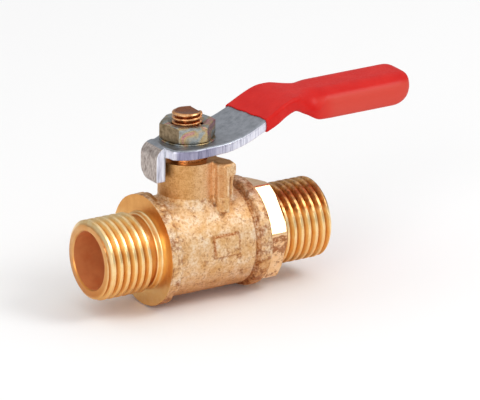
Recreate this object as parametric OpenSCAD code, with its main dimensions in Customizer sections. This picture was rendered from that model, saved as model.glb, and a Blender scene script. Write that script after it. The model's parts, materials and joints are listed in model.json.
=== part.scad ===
// Quarter-turn ball valve with two male pipe ends, a D-shaped stem and a dipped steel lever.
// X runs along the pipe towards the outlet, +Z runs up the stem, and the origin is the centre
// of the ball. The valve is drawn open, with the lever over the outlet. Sizes are millimetres.

/* [Pipe ends] */
// Major diameter of the pipe thread (G 1/4)
thread_d = 13.157; // [12.8:0.001:13.6]
// Pitch of the pipe thread (19 turns to the inch)
thread_pitch = 1.337; // [1.2:0.001:1.4]
// Depth of the pipe thread
thread_depth = 0.856; // [0.6:0.001:0.9]
// Full turns on each end
thread_turns = 6; // [4:1:6]
// Bore of each pipe end
end_bore_d = 9.5; // [8.4:0.1:10]
// Depth of the bore in each pipe end
end_bore_depth = 8.2; // [5:0.1:8.6]
// Length of the inlet stub in front of the flange
inlet_stub = 10.16; // [10:0.01:14]
// Length of the outlet stub behind the hexagon
outlet_stub = 9.5; // [9.2:0.1:14]

/* [Body] */
// Thickness of the cast barrel outside the ball
barrel_wall = 1.9; // [1.6:0.1:3]
// Length of the body from the ball to the flange face
inlet_wall = 1.9; // [1.6:0.1:4]
// How far the flange stands out from the barrel
flange_rise = 1; // [0.6:0.1:2]
// Thickness of the flange rim
flange_t = 2.2; // [1.6:0.1:3]
// How far the collar at the outlet side stands out from the barrel
collar_rise = 0.7; // [0.6:0.1:2]
// Width of the collar
collar_w = 2.2; // [1.5:0.1:3]
// Length of the body from the ball to its outlet end
outlet_wall = 4.7; // [4.7:0.1:6]
// Wall of the neck around the stem
neck_wall = 1.5; // [1.3:0.1:2]
// Height of the neck above the ball
neck_rise = 8.05; // [7:0.05:11]
// Height of the stop lug at the front
lug_h = 7.4; // [3:0.1:7.6]

/* [End cap] */
// How much wider the hexagon is across its flats than the cap's own thread
hex_over = 1.1; // [0.6:0.1:3]
// Width of the hexagon along the pipe
hex_w = 3.1; // [2.5:0.1:5]
// Turn of the hexagon about the pipe
hex_turn = 9.7; // [0:0.1:60]
// How much wider the cap's own thread is than the ball
cap_over = 1.5; // [1.2:0.1:1.8]

/* [Ball and seats] */
// Diameter of the ball
ball_d = 12.6; // [12:0.1:12.8]
// Bore of the ball, the seats and the body
port_d = 7.2; // [5:0.1:7.4]
// Thickness of each seat ring along the pipe
seat_t = 3.2; // [2.6:0.1:3.4]

/* [Stem] */
// Diameter of the stem in the neck
stem_d = 6.4; // [5.8:0.1:6.8]
// How far the stem's inner collar stands out from the stem
stem_collar_rise = 0.75; // [0.6:0.05:0.9]
// Thread diameter at the top of the stem (M5)
stem_thread_d = 5; // [4.5:0.1:5.2]
// Pitch of the stem thread
stem_pitch = 0.8; // [0.7:0.05:0.9]
// Distance from the stem axis to its flat
stem_flat_x = 1.5; // [1.2:0.05:2]
// Width of the tongue that turns the ball
tongue_w = 1.9; // [1.4:0.1:2.4]
// Height that the stem stands above the neck, under the lever
shoulder_h = 1.5; // [1:0.1:3]
// Section of the two O-rings
oring_w = 0.9; // [0.7:0.05:0.9]

/* [Lever] */
// Thickness of the lever plate
lever_t = 1.65; // [1.2:0.05:2.2]
// Radius of the hub of the lever
hub_r = 5.95; // [5.4:0.05:6.6]
// Rise of the grip over the hub
grip_rise = 4.6; // [2.5:0.1:7]
// Distance from the stem axis to the end of the steel
lever_reach = 40.3; // [38:0.5:70]
// Half width of the grip's steel
grip_half_w = 5.2; // [4.6:0.1:6.4]
// Thickness of the dipped sleeve
sleeve_t = 0.35; // [0.25:0.05:0.8]
// Distance from the stem axis to the mouth of the sleeve
sleeve_mouth_x = 11; // [10.5:0.1:14]
// Half width of the lever where the sleeve begins
shank_half_w = 5; // [4.6:0.1:5.6]
// Half width of the stop tab
tab_half_w = 2.5; // [2:0.05:2.8]
// Gap between the neck and the tab
tab_gap = 0.85; // [0.5:0.05:1.5]
// Depth of the tab below the lever plate
tab_drop = 4.15; // [3:0.05:5]

/* [Nut and washer] */
// Width of the nut across its flats
nut_af = 8; // [7:0.1:9]
// Height of the nut
nut_h = 2.7; // [2:0.1:4]
// Turn of the nut about the stem
nut_turn = 41.8; // [0:0.1:60]
// Diameter of the washer
washer_d = 9; // [8:0.1:9]
// Thickness of the washer
washer_t = 0.25; // [0.2:0.05:0.6]

/* [Fits] */
// Radial clearance of the turning stem
run_fit = 0.05; // [0.02:0.01:0.1]
// Gap between parts that stay still
seat_gap = 0.05; // [0.02:0.01:0.1]
// Gap between the tab and each stop lug at the ends of travel
stop_gap = 0.04; // [0.02:0.01:0.2]

/* [Hidden] */
$fn = 64;
eps = 0.01;
past = 1;                                   // how far a cut runs past a surface

ball_r = ball_d / 2;
thread_r = thread_d / 2;
barrel_d = ball_d + 2 * barrel_wall;
flange_x = ball_r + inlet_wall;
flange_d = barrel_d + 2 * flange_rise;
collar_d = barrel_d + 2 * collar_rise;
body_end_x = ball_r + outlet_wall;
neck_r = stem_d / 2 + neck_wall;
neck_top_z = ball_r + neck_rise;
cap_thread_d = ball_d + cap_over;
hex_af = cap_thread_d + hex_over;
crest_w = 0.22;                             // flat on each thread crest
flank_w = thread_depth * tan(27.5);         // width of one 55 degree flank
boss_w = 0.95;                              // plain boss between run-out groove and flange
boss_d = thread_d - 0.8;
relief_w = 0.88;
outlet_relief_w = 0.49;
end_chamfer = 0.45;
outlet_chamfer = 0.75;
inlet_end_x = -(flange_x + inlet_stub);
inlet_first_x = -(flange_x + boss_w + relief_w + thread_pitch / 2);
hex_end_x = body_end_x + hex_w;
outlet_end_x = hex_end_x + outlet_stub;
outlet_first_x = hex_end_x + outlet_relief_w + thread_pitch / 2;

cavity_r = ball_r + 0.2;
seat_r = cavity_r - seat_gap;
seat_back_x = ball_r + 0.3;                 // plane of each seat's back face
port_r = port_d / 2;
drill_cone = 0.6;                           // length of the cone under each end bore
cap_pitch = 1;
cap_depth = 0.55;
cap_turns = 3;
cap_first_x = seat_back_x + 1.1;
cap_bore_x = seat_back_x + 0.3;             // where the cap's threaded bore starts

stem_r = stem_d / 2;
stem_collar_d = stem_d + 2 * stem_collar_rise;
collar_bottom_z = cavity_r + seat_gap;
collar_h = 1;
thrust_t = 0.5;
collar_top_z = collar_bottom_z + collar_h;
ceiling_z = collar_top_z + thrust_t + 2 * seat_gap;
neck_bore_r = stem_r + run_fit;
oring_root_r = neck_bore_r - oring_w;
oring_groove_w = oring_w + 0.3;
oring_zs = [ceiling_z + 1.45, neck_top_z - 2.15];
shoulder_z = neck_top_z + shoulder_h;
lever_top_z = shoulder_z + lever_t;
nut_z = lever_top_z + washer_t;
nut_top_z = nut_z + nut_h;
stem_top_z = nut_top_z + 1.5;
stem_root_r = stem_thread_d / 2 - 0.43;
tongue_l = stem_d - 1;
tongue_bottom_z = (port_r + ball_r) / 2 - 0.35;
slot_bottom_z = tongue_bottom_z - 0.1;

hub_x = -1.2;                               // centre of the hub's round end
tab_x = neck_r + tab_gap + lever_t;         // outer face of the tab
hub_cut_x = tab_x - 1.35;                   // bend line of the tab
hub_leave = 84;                             // angle at which the outline leaves the hub's round end
knee_low_x = 6.2;                            // where the ramp leaves the hub's plane
knee_high_x = 16.2;                         // where it meets the grip's plane
knee_low_r = 8;
knee_high_r = 10;
ramp_angle = atan2(grip_rise, knee_high_x - knee_low_x);
grip_x = 19.8;                              // start of the grip's bent sides
grip_flat = 1.7;                             // half width of the grip's flat top
grip_r = grip_half_w - grip_flat;           // bend radius of its sides
grip_top_z = lever_top_z + grip_rise;
grip_axis_z = grip_top_z - grip_r;
plan_waist = [19.3, 4.1];                   // narrowest place of the lever: X and half width
tab_bend_r = 2;
arc_steps = 6;

// Points of an arc about a centre, from angle a0 to a1
function arc(c, r, a0, a1) =
    [for (i = [0 : arc_steps]) let (a = a0 + (a1 - a0) * i / arc_steps)
        [c[0] + r * cos(a), c[1] + r * sin(a)]];

function flip_y(points) = [for (i = [len(points) - 1 : -1 : 0]) [points[i][0], -points[i][1]]];

// Turned solid about the X axis from [radius, x] points
module turned(points) {
    rotate([0, 90, 0]) rotate_extrude() polygon(points);
}

// Cylinder along X from x0 to x1
module rod(r, x0, x1) {
    translate([x0, 0, 0]) rotate([0, 90, 0]) cylinder(r = r, h = x1 - x0);
}

// Round V crests along X, each as [radius, x] points, from the root up and down again
function crests(first_x, step, n, root_r, crest_r, flank, crest) =
    [for (i = [0 : n - 1]) let (x = first_x + i * step)
        each [[root_r, x - crest / 2 - flank], [crest_r, x - crest / 2],
              [crest_r, x + crest / 2], [root_r, x + crest / 2 + flank]]];

// Ring that trims the outer edge of a stub: dir is -1 for the inlet and +1 for the outlet
module edge_trim(end_x, dir, size) {
    turned([[thread_r - size, end_x], [thread_r, end_x - dir * size],
            [thread_r + past, end_x - dir * size], [thread_r + past, end_x + dir * past],
            [thread_r - size, end_x + dir * past]]);
}

// Bore of a pipe end with the cone that leads into the port
module end_bore(end_x, dir) {
    floor_x = end_x - dir * end_bore_depth;
    rod(end_bore_d / 2, min(floor_x, end_x + dir * past), max(floor_x, end_x + dir * past));
    turned([[0, floor_x], [end_bore_d / 2, floor_x], [port_r, floor_x - dir * drill_cone],
            [0, floor_x - dir * drill_cone]]);
}

// Threaded stub without its bore
module inlet_stub_solid() {
    root_r = thread_r - thread_depth;
    last_x = inlet_first_x - thread_turns * thread_pitch;
    difference() {
        turned(concat([[0, last_x - thread_pitch]],
            crests(last_x, thread_pitch, thread_turns + 1, root_r, thread_r, flank_w, crest_w),
            [[root_r, -(flange_x + boss_w)], [boss_d / 2, -(flange_x + boss_w)],
             [boss_d / 2, -flange_x + eps], [0, -flange_x + eps]]));
        rod(thread_r + past, last_x - thread_pitch - past, inlet_end_x);
        edge_trim(inlet_end_x, -1, end_chamfer);
    }
}

module outlet_stub_solid() {
    root_r = thread_r - thread_depth;
    last_x = outlet_first_x + thread_turns * thread_pitch;
    difference() {
        turned(concat([[0, hex_end_x - eps], [root_r, hex_end_x - eps]],
            crests(outlet_first_x, thread_pitch, thread_turns + 1, root_r, thread_r,
                   flank_w, crest_w),
            [[root_r, last_x + thread_pitch], [0, last_x + thread_pitch]]));
        rod(thread_r + past, outlet_end_x, last_x + thread_pitch + past);
        edge_trim(outlet_end_x, 1, outlet_chamfer);
    }
}

// Cast barrel with its flange and collar
module barrel() {
    flange_back_x = -flange_x + flange_t;
    collar_x = body_end_x - collar_w;
    round_w = 0.45;
    turned([[0, -flange_x], [flange_d / 2, -flange_x], [flange_d / 2, flange_back_x - round_w],
            [flange_d / 2 - round_w, flange_back_x], [barrel_d / 2, flange_back_x + round_w],
            [barrel_d / 2, collar_x - round_w], [barrel_d / 2 - 0.2, collar_x - round_w / 2],
            [collar_d / 2 - round_w, collar_x], [collar_d / 2, collar_x + round_w],
            [collar_d / 2, body_end_x - round_w], [collar_d / 2 - round_w, body_end_x],
            [0, body_end_x]]);
}

// Neck with the flare that blends it into the barrel
module neck() {
    flare = 0.7;
    rotate_extrude() polygon(concat([[0, 0], [neck_r + flare, 0]],
        arc([neck_r + flare, barrel_d / 2 + 1.1], flare, 270, 180),
        [[neck_r, neck_top_z], [0, neck_top_z]]));
}

// Front lug, which stops the tab when the valve is shut
module stop_lug_shut() {
    x0 = tab_half_w + stop_gap;
    root_y = -(neck_r - 0.1);
    tip_y = -(tab_x - 0.3);
    inside_y = -2;
    translate([0, 0, neck_top_z - lug_h]) linear_extrude(lug_h)
        polygon([[x0 - 1.94, inside_y], [x0 - 1.64, root_y], [x0, tip_y + 1.48],
                 [x0 + 1.1, tip_y], [x0 + 1.9, tip_y + 0.3], [x0 + 2.1, root_y],
                 [x0 + 1.7, inside_y]]);
}

// Short lug behind the tab, which stops it when the valve is open
module stop_lug_open() {
    y0 = tab_half_w + stop_gap;
    tip_x = -(tab_x - 0.9);
    inside_x = -(neck_r - 2.1);
    short_h = tab_drop - shoulder_h - 0.2;
    translate([0, 0, neck_top_z - short_h]) linear_extrude(short_h)
        polygon([[tip_x, y0], [tip_x + 0.1, y0 + 0.9], [tip_x + 1.1, y0 + 1.6],
                 [inside_x, y0 + 1.5], [inside_x, y0]]);
}

// Plain raised pad on the front of the barrel, where a size mark would be cast
module cast_pad() {
    pad_l = 4.6;
    pad_w = 3.4;
    pad_x = 2.6;
    pad_z = 1.2;
    pad_rise = 0.25;
    intersection() {
        translate([pad_x, -barrel_d / 2, pad_z]) cube([pad_l, 3, pad_w], center = true);
        rod(barrel_d / 2 + pad_rise, pad_x - pad_l / 2, pad_x + pad_l / 2);
    }
}

module valve_body() {
    color("goldenrod") difference() {
        union() {
            inlet_stub_solid();
            barrel();
            neck();
            stop_lug_shut();
            stop_lug_open();
            cast_pad();
        }
        end_bore(inlet_end_x, -1);
        rod(port_r, inlet_end_x + end_bore_depth, 0);
        rod(cavity_r, -seat_back_x, cap_bore_x);
        turned(concat([[0, cap_bore_x - eps], [cap_thread_d / 2 - cap_depth + seat_gap,
                       cap_bore_x - eps]],
            crests(cap_first_x, cap_pitch, cap_turns, cap_thread_d / 2 - cap_depth + seat_gap,
                   cap_thread_d / 2 + seat_gap, cap_depth * tan(30), 0.15),
            [[cap_thread_d / 2 - cap_depth + seat_gap, body_end_x + past],
             [0, body_end_x + past]]));
        cylinder(r = stem_collar_d / 2 + run_fit + 0.05, h = ceiling_z);
        cylinder(r = neck_bore_r, h = neck_top_z + past);
    }
}

module end_cap() {
    spigot_r = cap_thread_d / 2 - cap_depth;
    hex_r = hex_af / 2 / cos(30);
    hex_chamfer = 0.55;
    color("gold") difference() {
        union() {
            turned(concat([[0, seat_back_x], [spigot_r, seat_back_x]],
                crests(cap_first_x, cap_pitch, cap_turns, spigot_r, cap_thread_d / 2,
                       cap_depth * tan(30), 0.15),
                [[spigot_r, body_end_x + eps], [0, body_end_x + eps]]));
            intersection() {
                translate([body_end_x, 0, 0]) rotate([0, 90, 0]) rotate([0, 0, hex_turn])
                    cylinder(r = hex_r, h = hex_w, $fn = 6);
                turned([[0, body_end_x], [hex_r, body_end_x],
                        [hex_r, hex_end_x - hex_chamfer],
                        [hex_r - hex_chamfer * 1.6, hex_end_x], [0, hex_end_x]]);
            }
            outlet_stub_solid();
        }
        end_bore(outlet_end_x, 1);
        rod(port_r, seat_back_x - past, outlet_end_x - end_bore_depth);
    }
}

module ball() {
    color("gainsboro") difference() {
        sphere(r = ball_r);
        rod(port_r, -ball_r - past, ball_r + past);
        translate([-(tongue_w + 0.1) / 2, -ball_r - past, slot_bottom_z])
            cube([tongue_w + 0.1, 2 * (ball_r + past), ball_r]);
    }
}

// Seat ring with its back at seat_back_x, hollowed to the ball
module seat() {
    color("ivory") difference() {
        rod(seat_r, seat_back_x - seat_t, seat_back_x);
        rod(port_r, 0, seat_back_x + past);
        sphere(r = ball_r + seat_gap);
    }
}

module seat_outlet() {
    seat();
}

module seat_inlet() {
    mirror([1, 0, 0]) seat();
}

module stem() {
    thread_r0 = stem_thread_d / 2;
    first_z = lever_top_z + 0.5;
    turns = floor((stem_top_z - 0.5 - first_z) / stem_pitch) + 1;
    groove = oring_groove_w / 2;
    color("peru") difference() {
        union() {
            rotate_extrude() polygon(concat(
                [[0, collar_bottom_z], [stem_collar_d / 2, collar_bottom_z],
                 [stem_collar_d / 2, collar_top_z], [stem_r, collar_top_z]],
                [for (z = oring_zs) each [[stem_r, z - groove], [oring_root_r, z - groove],
                                          [oring_root_r, z + groove], [stem_r, z + groove]]],
                [[stem_r, shoulder_z], [thread_r0, shoulder_z], [thread_r0, lever_top_z]],
                crests(first_z, stem_pitch, turns, stem_root_r, thread_r0, 0.25, 0.15),
                [[stem_root_r, stem_top_z], [0, stem_top_z]]));
            translate([-tongue_w / 2, -tongue_l / 2, tongue_bottom_z])
                cube([tongue_w, tongue_l, collar_bottom_z - tongue_bottom_z + eps]);
        }
        translate([stem_flat_x, -thread_r0 - past, shoulder_z])
            cube([thread_r0, 2 * (thread_r0 + past), stem_top_z]);
    }
}

module stem_thrust_washer() {
    color("white") translate([0, 0, collar_top_z + seat_gap]) difference() {
        cylinder(r = stem_collar_d / 2, h = thrust_t);
        translate([0, 0, -past]) cylinder(r = stem_r + 0.05, h = thrust_t + 2 * past);
    }
}

module oring(z) {
    color([0.08, 0.08, 0.08]) translate([0, 0, z]) rotate_extrude()
        translate([oring_root_r + oring_w / 2, 0]) circle(r = oring_w / 2 - 0.03);
}

module stem_oring_lower() {
    oring(oring_zs[0]);
}

module stem_oring_upper() {
    oring(oring_zs[1]);
}

// Side view of the lever plate, with dz added to each face
module lever_side(dz) {
    low_x = knee_low_x - knee_low_r * tan(ramp_angle / 2);
    high_x = knee_high_x + knee_high_r * tan(ramp_angle / 2);
    mid_z = shoulder_z + lever_t / 2;
    half = lever_t / 2 + dz;
    low_c = [low_x, mid_z + knee_low_r];
    high_c = [high_x, mid_z + grip_rise - knee_high_r];
    end_x = lever_reach + dz;
    polygon(concat(
        [[-hub_cut_x, mid_z + half]],
        arc(low_c, knee_low_r - half, 270, 270 + ramp_angle),
        arc(high_c, knee_high_r + half, 90 + ramp_angle, 90),
        [[end_x, mid_z + grip_rise + half], [end_x, mid_z + grip_rise - half]],
        arc(high_c, knee_high_r - half, 90, 90 + ramp_angle),
        arc(low_c, knee_low_r + half, 270 + ramp_angle, 270),
        [[-hub_cut_x, mid_z - half]]));
}

// Upper half of the lever's outline from above, as [x, y] points, widened by g
function plan_edge(g) =
    let (x = plan_waist[0], y = plan_waist[1])
    concat(arc([hub_x, 0], hub_r, 180 - acos((hub_cut_x + hub_x) / hub_r), hub_leave),
           [[x - 15.3, shank_half_w + 0.4], [x - 12.3, shank_half_w + 0.1],
            [x - 8.3, shank_half_w + g], [x - 5.3, shank_half_w - 0.1 + g],
            [x - 3.3, y + 0.65 + g], [x - 1.7, y + 0.3 + g], [x, y + g], [x + 1.8, y + 0.3 + g],
            [x + 3.6, grip_half_w + g]]);

// Outline of the lever from above, with its round tip
module lever_plan(g) {
    tip_x = lever_reach - grip_half_w;
    half = concat(plan_edge(g), [[tip_x, grip_half_w + g]]);
    polygon(concat(half, flip_y(half)));
    translate([tip_x, 0]) circle(r = grip_half_w + g);
}

// Side view of the grip, with the round lower corner of its tip
module grip_side(g) {
    corner_r = 3;
    end_x = lever_reach + g;
    bottom_z = grip_axis_z - g;
    polygon(concat([[grip_x, grip_top_z + g], [grip_x, bottom_z]],
        arc([end_x - corner_r, bottom_z + corner_r], corner_r, 270, 360),
        [[end_x, grip_top_z + g]]));
}

// Steel of the lever's grip with its sides bent down, grown by g on every face
module grip_channel(g) {
    bottom_z = grip_axis_z - g;
    inner_r = grip_r - lever_t - g;
    end_x = lever_reach + g;
    intersection() {
        translate([0, 0, bottom_z]) linear_extrude(grip_r + 2 * g + past) lever_plan(g);
        rotate([90, 0, 0]) translate([0, 0, -20]) linear_extrude(40) grip_side(g);
        difference() {
            union() {
                for (side = [-1, 1]) translate([0, side * grip_flat, grip_axis_z])
                    rod(grip_r + g, grip_x, end_x);
                translate([grip_x, -grip_flat, grip_axis_z])
                    cube([end_x - grip_x, 2 * grip_flat, grip_r + g]);
                translate([grip_x, -grip_half_w - g, bottom_z])
                    cube([end_x - grip_x, 2 * (grip_half_w + g), g + eps]);
            }
            translate([grip_x - past, -grip_half_w - g - past, bottom_z - grip_r - past])
                cube([end_x - grip_x + 2 * past, 2 * (grip_half_w + g + past),
                      grip_r + past]);
            for (side = [-1, 1]) translate([0, side * grip_flat, grip_axis_z])
                rod(inner_r, grip_x - past, end_x + past);
            translate([grip_x - past, -grip_flat, grip_axis_z])
                cube([end_x - grip_x + 2 * past, 2 * grip_flat, inner_r]);
            translate([grip_x - past, -grip_flat - inner_r, bottom_z - past])
                cube([end_x - grip_x + 2 * past, 2 * (grip_flat + inner_r), g + past + eps]);
        }
    }
}

// Bent plate of the lever from the hub to the grip, grown by g
module lever_plate(g) {
    intersection() {
        rotate([90, 0, 0]) translate([0, 0, -20]) linear_extrude(40) lever_side(g);
        translate([0, 0, shoulder_z - past]) linear_extrude(20) lever_plan(g);
        translate([-20, -20, 0]) cube([20 + grip_x + 0.4, 40, 40]);
    }
}

// Stop tab bent down in front of the hub
module lever_tab() {
    bend_c = [-tab_x + tab_bend_r, lever_top_z - tab_bend_r];
    bottom_z = shoulder_z - tab_drop;
    corner = 1;
    intersection() {
        rotate([90, 0, 0]) translate([0, 0, -tab_half_w]) linear_extrude(2 * tab_half_w)
            polygon(concat(arc(bend_c, tab_bend_r, 90, 180),
                [[-tab_x, bottom_z], [-tab_x + lever_t, bottom_z],
                 [-tab_x + lever_t, shoulder_z], [-hub_cut_x + 1, shoulder_z],
                 [-hub_cut_x + 1, lever_top_z]]));
        rotate([90, 0, 90]) translate([0, 0, -20]) linear_extrude(40)
            polygon([[-tab_half_w, 30], [-tab_half_w, bottom_z],
                     [tab_half_w - corner, bottom_z], [tab_half_w, bottom_z + corner],
                     [tab_half_w, 30]]);
    }
}

module lever_steel() {
    difference() {
        union() {
            lever_plate(0);
            grip_channel(0);
            lever_tab();
        }
        difference() {
            translate([0, 0, shoulder_z - past])
                cylinder(r = stem_thread_d / 2 + run_fit, h = lever_t + 2 * past);
            translate([stem_flat_x + run_fit, -5, shoulder_z - 2 * past])
                cube([5, 10, lever_t + 4 * past]);
        }
    }
}

module lever() {
    color("silver") lever_steel();
}

module lever_sleeve() {
    color("red") difference() {
        union() {
            intersection() {
                lever_plate(sleeve_t);
                translate([sleeve_mouth_x, -20, 0]) cube([40, 40, 40]);
            }
            grip_channel(sleeve_t);
        }
        lever_steel();
    }
}

module lever_washer() {
    color("darkkhaki") translate([0, 0, lever_top_z]) difference() {
        cylinder(r = washer_d / 2, h = washer_t);
        translate([0, 0, -past]) cylinder(r = stem_thread_d / 2 + 0.1, h = washer_t + 2 * past);
    }
}

module lever_nut() {
    nut_r = nut_af / 2 / cos(30);
    top_chamfer = 0.3;
    color("olive") difference() {
        intersection() {
            translate([0, 0, nut_z]) rotate([0, 0, nut_turn])
                cylinder(r = nut_r, h = nut_h, $fn = 6);
            rotate_extrude() polygon([[0, nut_z], [nut_r, nut_z],
                [nut_r, nut_top_z - top_chamfer], [nut_r - top_chamfer * 2, nut_top_z],
                [0, nut_top_z]]);
        }
        translate([0, 0, nut_z - past])
            cylinder(r = stem_thread_d / 2 + 0.02, h = nut_h + 2 * past);
        rotate_extrude() polygon([[0, nut_top_z - 0.4], [stem_thread_d / 2, nut_top_z - 0.4],
            [stem_thread_d / 2 + 0.4, nut_top_z], [stem_thread_d / 2 + 0.4, nut_top_z + past],
            [0, nut_top_z + past]]);
    }
}

valve_body();
end_cap();
ball();
seat_inlet();
seat_outlet();
stem();
stem_thrust_washer();
stem_oring_lower();
stem_oring_upper();
lever();
lever_sleeve();
lever_washer();
lever_nut();
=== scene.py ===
"""Looks for the quarter-turn ball valve: cast and turned brass, bent steel lever, red dipped sleeve.

Shapes are worked out in millimetres in the CAD's own frame (X along the pipe, Z up the stem) and
become metres when a mesh is made. Cast, stamped and dipped pieces are distance fields that OpenVDB
turns into closed meshes. Turned pieces and pipe threads are lathed meshes, joined by booleans.
"""

import json
import math

import bpy
import numpy as np
import openvdb
from mathutils import Matrix, Vector


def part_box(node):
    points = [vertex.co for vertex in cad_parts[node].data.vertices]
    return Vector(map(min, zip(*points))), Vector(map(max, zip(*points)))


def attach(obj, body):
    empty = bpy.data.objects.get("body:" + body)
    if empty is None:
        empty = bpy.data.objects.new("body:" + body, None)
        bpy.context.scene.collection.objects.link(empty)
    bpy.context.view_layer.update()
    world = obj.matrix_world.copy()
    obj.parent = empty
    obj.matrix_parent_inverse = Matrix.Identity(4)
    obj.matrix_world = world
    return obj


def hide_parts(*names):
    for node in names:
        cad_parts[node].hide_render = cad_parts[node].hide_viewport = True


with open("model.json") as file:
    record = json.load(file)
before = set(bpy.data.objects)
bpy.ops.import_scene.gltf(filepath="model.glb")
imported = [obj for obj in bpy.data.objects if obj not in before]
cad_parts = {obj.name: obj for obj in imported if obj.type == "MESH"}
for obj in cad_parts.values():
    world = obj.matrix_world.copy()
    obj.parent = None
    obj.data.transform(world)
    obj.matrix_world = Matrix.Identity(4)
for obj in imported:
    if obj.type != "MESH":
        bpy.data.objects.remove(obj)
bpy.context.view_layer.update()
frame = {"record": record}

MM = 0.001


def span(node):
    """Lowest and highest corner of a CAD node in millimetres."""
    lo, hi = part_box(node)
    return np.array(lo) / MM, np.array(hi) / MM


def mount_dim(name, dim):
    """A stated size of one of the record's mounts."""
    found = [m for m in frame["record"]["mounts"] if m["name"] == name]
    return found[0]["dims"][dim]


# ---- Sizes taken from the frame ----
BODY_LO, BODY_HI = span("valve_body")
CAP_HI = span("end_cap")[1]
STEM_LO, STEM_HI = span("stem")
LEVER_LO, LEVER_HI = span("lever")
SLEEVE_LO, SLEEVE_HI = span("lever_sleeve")
WASHER_LO, WASHER_HI = span("lever_washer")
NUT_LO, NUT_HI = span("lever_nut")
BALL_HI = span("ball")[1]
SEAT_LO, SEAT_HI = span("seat_outlet")
THRUST_LO, THRUST_HI = span("stem_thrust_washer")

THREAD_R = mount_dim("inlet_thread", "r_mm")
BORE_R = mount_dim("inlet_bore", "r_mm")
BORE_DEPTH = mount_dim("inlet_bore", "length_mm")
PORT_R = mount_dim("flow_port", "r_mm")
FLANGE_X = [m for m in frame["record"]["mounts"] if m["name"] == "flange_face"][0]["pos_m"][0] / MM

# ---- Sizes of the pipe threads ----
PITCH = 1.337
THREAD_DEPTH = 0.856
FLANK_W = THREAD_DEPTH * math.tan(math.radians(27.5))
CREST_W = 0.40
END_CHAMFER = 0.45
OUTLET_CHAMFER = 0.75
BOSS_W = 0.95
BOSS_R = THREAD_R - 0.4
RELIEF_W = 0.88
OUTLET_RELIEF_W = 0.49
DRILL_CONE = 0.6
INLET_CREST_X = -10.70
OUTLET_CREST_X = 15.26

# ---- Sizes of the body ----
FLANGE_R = -BODY_LO[2]
BARREL_R = 8.2
COLLAR_R = 8.9
BODY_END = BODY_HI[0]
NECK_R = 4.7
NECK_TOP = BODY_HI[2]
NECK_BORE_R = 3.25
CHAMBER_R = 6.5
CHAMBER_X = 6.6
CAP_BORE_R = 7.1
CAP_BORE_X = 6.9
CEILING = 8.15
PAD = (2.6, 1.2, 4.6, 3.4)
PAD_RISE = 0.33

# ---- Sizes of the cap ----
HEX_AF = 15.2
HEX_TURN = math.radians(9.7)
HEX_END = 14.1
HEX_CHAMFER = 0.55
SPIGOT_R = 6.5
SPIGOT_END = 11.2

# ---- Sizes of the lever ----
PLATE_T = 1.65
PLATE_TOP = WASHER_LO[2]
PLATE_MID = PLATE_TOP - PLATE_T / 2
GRIP_RISE = LEVER_HI[2] - PLATE_TOP
LEVER_END = LEVER_HI[0]
GRIP_HALF = 5.2
GRIP_R = 3.5
GRIP_AXIS = LEVER_HI[2] - GRIP_R
GRIP_START = 19.8
SLEEVE_T = SLEEVE_HI[2] - LEVER_HI[2]
HUB_X = -1.2
HUB_R = 5.95
HUB_CUT = 5.85
TAB_X = -LEVER_LO[0]
TAB_HALF = 2.5
TAB_BOTTOM = LEVER_LO[2]
TAB_BEND_R = 2.0
RAMP_LOW = (6.2, 14.0)
RAMP_HIGH = (16.2, 9.0)
WAIST = (19.3, 4.25)
TIP_POWER = 3.1
TIP_TOP_R = 1.4
TIP_LOW_R = 4.8
GRIP_SAG = 0.35
EDGE_R = 0.5

# ---- Sizes of the stem and nut ----
FLAT_X = 1.5
STEM_THREAD_R = 2.5
STEM_PITCH = 0.8
NUT_AF = 8.0
NUT_TURN = 71.8


# ======== Distance fields ========
class Grid:
    """A box of sample points, with a field turned into a closed mesh in metres."""

    def __init__(self, lo, hi, step):
        self.lo, self.step = np.array(lo, float), step
        axes = [np.arange(a, b + step, step, dtype=np.float32) for a, b in zip(lo, hi)]
        self.axes = axes
        self.x = axes[0][:, None, None]
        self.y = axes[1][None, :, None]
        self.z = axes[2][None, None, :]

    def noise(self, cell, seed):
        """Smooth random field from about -1 to 1 with one bump per cell, the same each run."""
        rng = np.random.default_rng(seed)
        weights = [spline_weights((a - a[0]) / cell) for a in self.axes]
        field = rng.uniform(-1, 1, [w.shape[1] for w in weights]).astype(np.float32)
        for axis, w in enumerate(weights):
            field = np.moveaxis(np.tensordot(w, field, axes=(1, axis)), 0, axis)
        return field * 1.9

    def mesh(self, name, field, adaptivity=0.0):
        """Object whose surface is where the field is zero; the field is negative inside."""
        shape = tuple(len(a) for a in self.axes)
        band = 3 * self.step
        values = np.clip(np.broadcast_to(field, shape), -band, band).astype(np.float32)
        grid = openvdb.FloatGrid(background=band)
        grid.copyFromArray(np.ascontiguousarray(values))
        points, triangles, quads = grid.convertToPolygons(isovalue=0.0, adaptivity=adaptivity)
        points = points * self.step + self.lo
        return new_object(name, points * MM, [triangles, quads])


def spline_weights(t):
    """Cubic B-spline weights of each sample over the random lattice, as a matrix."""
    cells = int(math.floor(float(t[-1]))) + 4
    base = np.floor(t).astype(int)
    f = t - base
    parts = [(1 - f) ** 3 / 6, (3 * f**3 - 6 * f**2 + 4) / 6,
             (-3 * f**3 + 3 * f**2 + 3 * f + 1) / 6, f**3 / 6]
    w = np.zeros((len(t), cells), np.float32)
    for i, part in enumerate(parts):
        w[np.arange(len(t)), base + i] = part
    return w


def round_max(a, b, r):
    """Intersection whose edge is rounded to radius r."""
    return np.minimum(np.maximum(a, b), -r) + np.hypot(np.maximum(a + r, 0), np.maximum(b + r, 0))


def round_min(a, b, r):
    """Union with a fillet of radius r."""
    return np.maximum(np.minimum(a, b), r) - np.hypot(np.maximum(r - a, 0), np.maximum(r - b, 0))


def slab(v, lo, hi):
    """Distance to the layer between two planes."""
    return np.maximum(lo - v, v - hi)


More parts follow.
